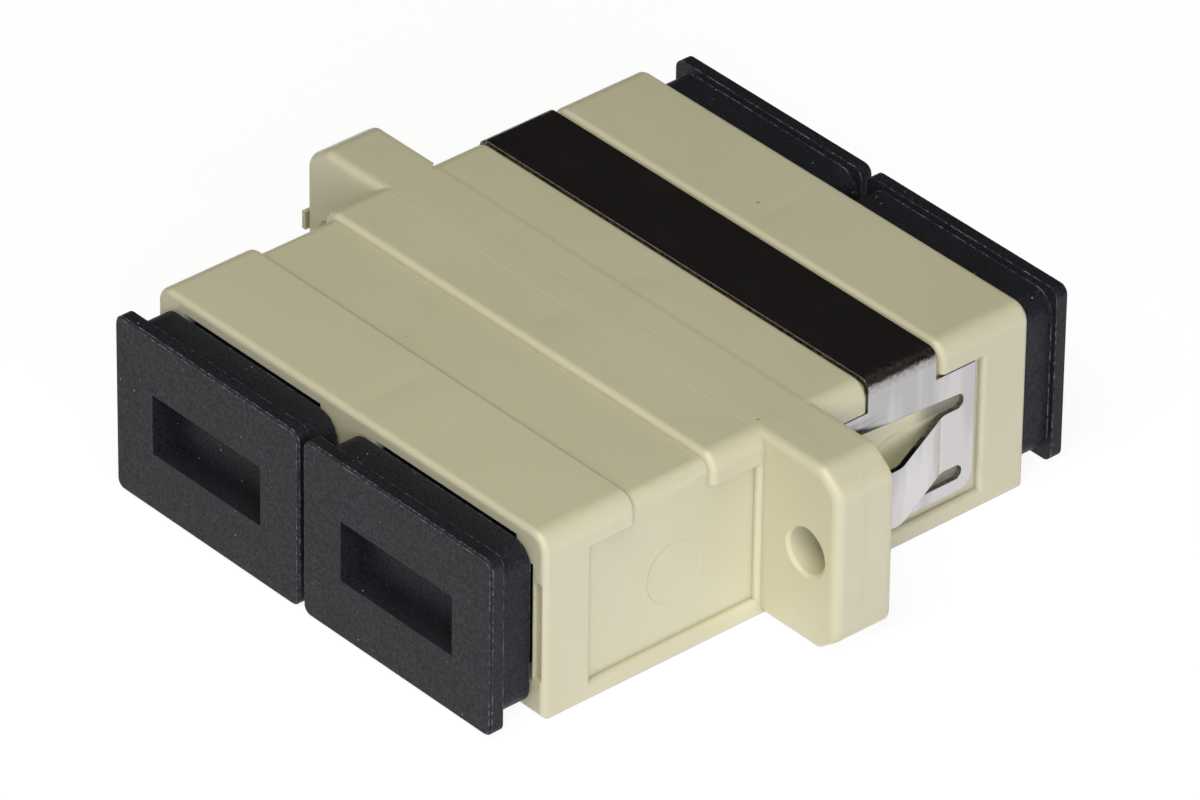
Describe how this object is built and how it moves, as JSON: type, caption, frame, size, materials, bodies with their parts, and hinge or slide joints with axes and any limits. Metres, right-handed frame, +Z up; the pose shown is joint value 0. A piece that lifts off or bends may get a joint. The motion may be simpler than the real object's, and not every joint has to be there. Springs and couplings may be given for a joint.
{
  "type": "fibre optic adapter",
  "caption": "Flanged panel adapter that joins pairs of square-bodied push-pull fibre optic plugs end to end, with a sprung steel clip and pull-out dust caps in its ports.",
  "frame": {"origin": "centre of the underside, in the plane of the weld in the middle of the flange", "axes": "+X along the flange, +Y out of the ports on the clip's side, +Z up, away from the open side of the clip"},
  "size_m": [0.035, 0.0326, 0.0092],
  "materials": {
    "housing": "smooth moulded beige",
    "clip": "bright rolled spring steel",
    "insert": "moulded natural plastic",
    "sleeve": "phosphor bronze",
    "cap": "black, slightly dusty"
  },
  "bodies": {
    "adapter": {"front_housing": "housing", "rear_housing": "housing", "spring_clip": "clip", "latch_insert_front_left": "insert", "latch_insert_front_right": "insert", "latch_insert_rear_left": "insert", "latch_insert_rear_right": "insert", "alignment_sleeve_left": "sleeve", "alignment_sleeve_right": "sleeve"},
    "cap_front_left": {"dust_cap_front_left": "cap"},
    "cap_front_right": {"dust_cap_front_right": "cap"},
    "cap_rear_left": {"dust_cap_rear_left": "cap"},
    "cap_rear_right": {"dust_cap_rear_right": "cap"}
  },
  "joints": [
    {"name": "cap_front_left_slide", "type": "slide", "parent": "adapter", "child": "cap_front_left", "axis": [0, -1, 0], "range_m": [0, 0.0085]},
    {"name": "cap_front_right_slide", "type": "slide", "parent": "adapter", "child": "cap_front_right", "axis": [0, -1, 0], "range_m": [0, 0.0085]},
    {"name": "cap_rear_left_slide", "type": "slide", "parent": "adapter", "child": "cap_rear_left", "axis": [0, 1, 0], "range_m": [0, 0.0085]},
    {"name": "cap_rear_right_slide", "type": "slide", "parent": "adapter", "child": "cap_rear_right", "axis": [0, 1, 0], "range_m": [0, 0.0085]}
  ]
}
